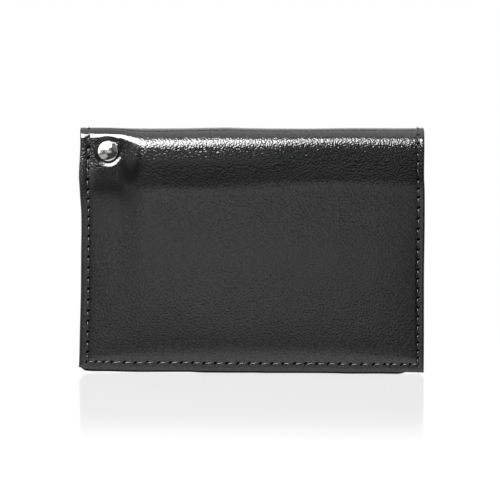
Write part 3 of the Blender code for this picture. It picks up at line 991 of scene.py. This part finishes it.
def add_rivet(finish):
    """The domed cap with its stem, and the tubular post with its own cap at the back."""
    front, back = STRAP_Y - PINCH_RADIUS - CLEARANCE, STRAP_Y + PINCH_RADIUS + CLEARANCE
    length = back - front - CLEARANCE
    bead = [(r * MM, h * MM) for r, h in CAP_BEAD]
    rise = CAP_HEIGHT - bead[0][1]
    ball = (bead[0][0] ** 2 + rise**2) / (2 * rise)
    angles = np.linspace(0, np.arcsin(bead[0][0] / ball), 22)[:-1]
    crown = [(ball * sin(a), ball * cos(a) - ball + CAP_HEIGHT) for a in angles]
    bore = POST_RADIUS - POST_WALL
    stem, stem_end, tip = bore - CLEARANCE, POST_FLOOR - length, 0.1 * MM
    pin = [(stem, 0), (stem, stem_end + tip), (stem - tip, stem_end), (0, stem_end)]
    cap = lathe("rivet_front", crown + bead + pin)
    lip = 0.08 * MM
    tube = [(0, POST_FLOOR), (bore, POST_FLOOR), (bore, length - lip), (bore + lip, length)]
    tube += [(POST_RADIUS - lip, length), (POST_RADIUS, length - lip), (POST_RADIUS, 0)]
    under = [(r, -h) for r, h in (crown + bead)[::-1]]
    post = lathe("rivet_back", tube + under)
    for made, y, node in ((cap, front, "rivet_cap"), (post, back, "rivet_post")):
        made.data.transform(Matrix.Translation((RIVET_X, y, RIVET_Z)))
        ride(made, "shell", node, finish)


def strap_frame():
    """The strap's own axes at rest: along it, across its plies, and across its width."""
    place = Matrix.Translation((RIVET_X, STRAP_Y, RIVET_Z))
    return place @ Matrix.Rotation(STRAP_REST_ANGLE, 4, "Y")


def strap_path():
    """The strap's inner side (along, across its plies) from the rivet round the ring and back."""
    half = STRAP_WIDTH / 2
    room = WIRE_THICK + WIRE_GAP / 2 + CLEARANCE
    loop_from = STRAP_REACH - RING_RADIUS - CLEARANCE
    loop_to = STRAP_REACH - sqrt((RING_RADIUS - RING_BAND) ** 2 - half**2) + CLEARANCE
    tip = [-half * cos(a) for a in np.linspace(radians(14), pi / 2, 12)]
    side = [(u, PLY_GAP) for u in [*tip, *np.linspace(0, loop_from - LOOP_FLARE, 16)[1:]]]
    flare = np.linspace(0, 1, 12)[1:]
    side += [(loop_from - LOOP_FLARE * (1 - s), PLY_GAP + (room - PLY_GAP) * ease(s)) for s in flare]
    side += [(u, room) for u in np.linspace(loop_from, loop_to, 5)[1:]]
    turn = [(loop_to + room * sin(a), room * cos(a)) for a in np.linspace(0, pi, 21)[1:-1]]
    return np.array(side + turn + [(u, -w) for u, w in side[::-1]])


def add_key_strap(finish):
    """A strip of hide folded round the ring, with turned edges and both ends on the rivet."""
    path = strap_path()
    half, turn = STRAP_WIDTH / 2, 0.35 * MM
    reach = np.concatenate([half - rounding(turn), np.linspace(0, half - turn, 9)])
    reach = np.unique(np.round(np.concatenate([-reach, reach]), 7))
    width = np.sqrt(half**2 - np.minimum(path[:, 0], 0) ** 2) / half
    base = np.empty((len(reach), len(path), 3))
    base[..., :2] = path
    base[..., 2] = reach[:, None] * width
    along = np.gradient(path, axis=0)
    out = np.stack([-along[:, 1], along[:, 0], np.zeros(len(path))], axis=1)
    out /= np.linalg.norm(out, axis=1, keepdims=True)
    near = near_sides(reach, turn)
    drop = 0.3 * MM * (1 - np.sqrt(1 - near**2))
    crease = 0.07 * MM * bell(half - np.abs(reach) - 1.2 * MM, 0.25 * MM)
    outer = base + out * (STRAP_THICK - drop - crease)[:, None, None]
    inner = base + out * (0.5 * drop)[:, None, None]
    made, used = closed_sheet("strap", outer, inner, pierce(outer, inner))
    for label in ("side_run", "side_off", "hem_run", "hem_off"):
        add_values(made, label, np.full(len(used), 0.4))  # far from any needle hole
    add_values(made, "edge", np.broadcast_to(near[:, None], base.shape[:2]).ravel()[used])
    made.data.transform(strap_frame())
    ride(made, "key_strap", "key_strap", finish)


def add_split_ring(finish):
    """Two turns of flat wire with rounded corners, which step from one plane to the other."""
    plane = (WIRE_THICK + WIRE_GAP) / 2
    end = RING_STEP_ANGLE / 2 + CLEARANCE / RING_RADIUS
    middle = RING_RADIUS - RING_BAND / 2
    corner = 0.24 * MM
    section = []
    for quarter, (sx, sy) in enumerate(((1, 1), (-1, 1), (-1, -1), (1, -1))):
        for a in np.linspace(quarter * pi / 2, (quarter + 1) * pi / 2, 5):
            centre = sx * (RING_BAND / 2 - corner), sy * (WIRE_THICK / 2 - corner)
            section.append((centre[0] + corner * cos(a), centre[1] + corner * sin(a)))
    bm = bmesh.new()
    rings = []
    for a in np.linspace(end, 4 * pi - end, 260):
        step = float(ease((a - 2 * pi) / RING_STEP_ANGLE + 0.5))
        level = plane * (2 * step - 1)
        rings.append(
            [bm.verts.new(((middle + r) * cos(a), level + w, (middle + r) * sin(a))) for r, w in section]
        )
    join_rings(bm, rings, len(section))
    for ring in (rings[0], rings[-1]):
        bm.faces.new(ring)
    made = finished("split_ring", bm)
    made.data.transform(strap_frame() @ Matrix.Translation((STRAP_REACH, 0, 0)))
    ride(made, "key_ring", "key_ring", finish)


# Stage


def add_camera():
    made = linked("camera", bpy.data.cameras.new("camera"))
    made.data.lens, made.data.sensor_width = LENS, SENSOR
    made.data.clip_start, made.data.clip_end = 0.01, 20
    place = Matrix.Translation((EYE[0], -FLAT_HALF - CAMERA_DISTANCE, EYE[1]))
    made.matrix_world = place @ Matrix.Rotation(-CAMERA_ROLL, 4, "Y") @ Matrix.Rotation(pi / 2, 4, "X")
    bpy.context.scene.camera = made


def add_card(name, azimuth, elevation, distance, size, radiance):
    """A lit card that faces the case. Azimuth 0 is in front of it, and 90 to its right."""
    data = bpy.data.lights.new(name, "AREA")
    data.shape, data.size, data.size_y = "RECTANGLE", *size
    data.energy = radiance * pi * size[0] * size[1]
    made = linked(name, data)
    a, e = radians(azimuth), radians(elevation)
    way = Vector((sin(a) * cos(e), -cos(a) * cos(e), sin(e)))
    made.location = Vector((0, 0, CARDS_FACE)) + distance * way
    made.rotation_euler = way.to_track_quat("Z", "Y").to_euler()
    made.visible_camera = False


def add_floor():
    """A white table, a little glossy in front of the case. Only its nearest part is mirrored in the case."""
    matt = {"base_color": (0.03, 0.03, 0.03, 1), "roughness": 0.6, "specular_ior_level": 0.0}
    matt["emission_color"] = (1, 1, 1, 1)
    finish = Finish("pale_floor", emission_strength=0.93, **matt)
    reach = finish.node("ShaderNodeVectorMath", {"operation": "LENGTH"}, {0: finish.place}, output=1)
    shine = finish.along("Y").step(-0.284, -0.144) * reach.step(0.36, 0.17) * 0.205
    gloss = {"Color": (1, 1, 1, 1), "Roughness": 0.12}
    finish.cover(shine, finish.node("ShaderNodeBsdfAnisotropic", None, gloss))
    mirrored = Finish("mirrored_floor", emission_strength=1.12, **matt)
    whole = [(x, y, -0.00005) for x, y in ((-0.6, -0.5), (0.6, -0.5), (0.6, 0.2), (-0.6, 0.2))]
    near = [(0.08 * cos(a), 0.06 * sin(a), -0.0001) for a in np.linspace(0, 2 * pi, 97)[:-1]]
    for name, points, material in (("floor", whole, finish), ("floor_mirrored", near, mirrored)):
        mesh = bpy.data.meshes.new(name)
        mesh.from_pydata(points, [], [range(len(points))])
        mesh.materials.append(material.material)
        made = linked(name, mesh)
        made.visible_glossy = name == "floor_mirrored"
        made.visible_camera = made.visible_diffuse = made.visible_shadow = name == "floor"


def add_surround():
    """White to the camera, dim to the case, so that the cards alone shape its reflections."""
    world = bpy.data.worlds.new("surround")
    bpy.context.scene.world = world
    world.use_nodes = True
    nodes = Wiring(world.node_tree)
    world.node_tree.nodes.clear()
    seen = nodes.node("ShaderNodeBackground", None, {"Color": (1, 1, 1, 1)})
    dim = nodes.node("ShaderNodeBackground", None, {"Color": (1, 1, 1, 1), "Strength": 0.05})
    ray = nodes.node("ShaderNodeLightPath", output="Is Camera Ray")
    mixed = nodes.node("ShaderNodeMixShader", None, {0: ray, 1: dim, 2: seen})
    nodes.node("ShaderNodeOutputWorld", None, {"Surface": mixed})


def main():
    add_camera()
    bpy.context.scene.view_settings.view_transform = "Standard"
    add_surround()
    add_floor()
    for card in CARDS:
        add_card(*card)
    hide, lining = calf(), lining_leather()
    add_hide_and_seams(hide, lining, waxed_thread())
    add_card_pocket(lining)
    add_rivet(nickel("polished_nickel", (0.76, 0.755, 0.74), 0.09))
    add_key_strap(hide)
    add_split_ring(nickel("ring_steel", (0.62, 0.615, 0.6), 0.18))


main()
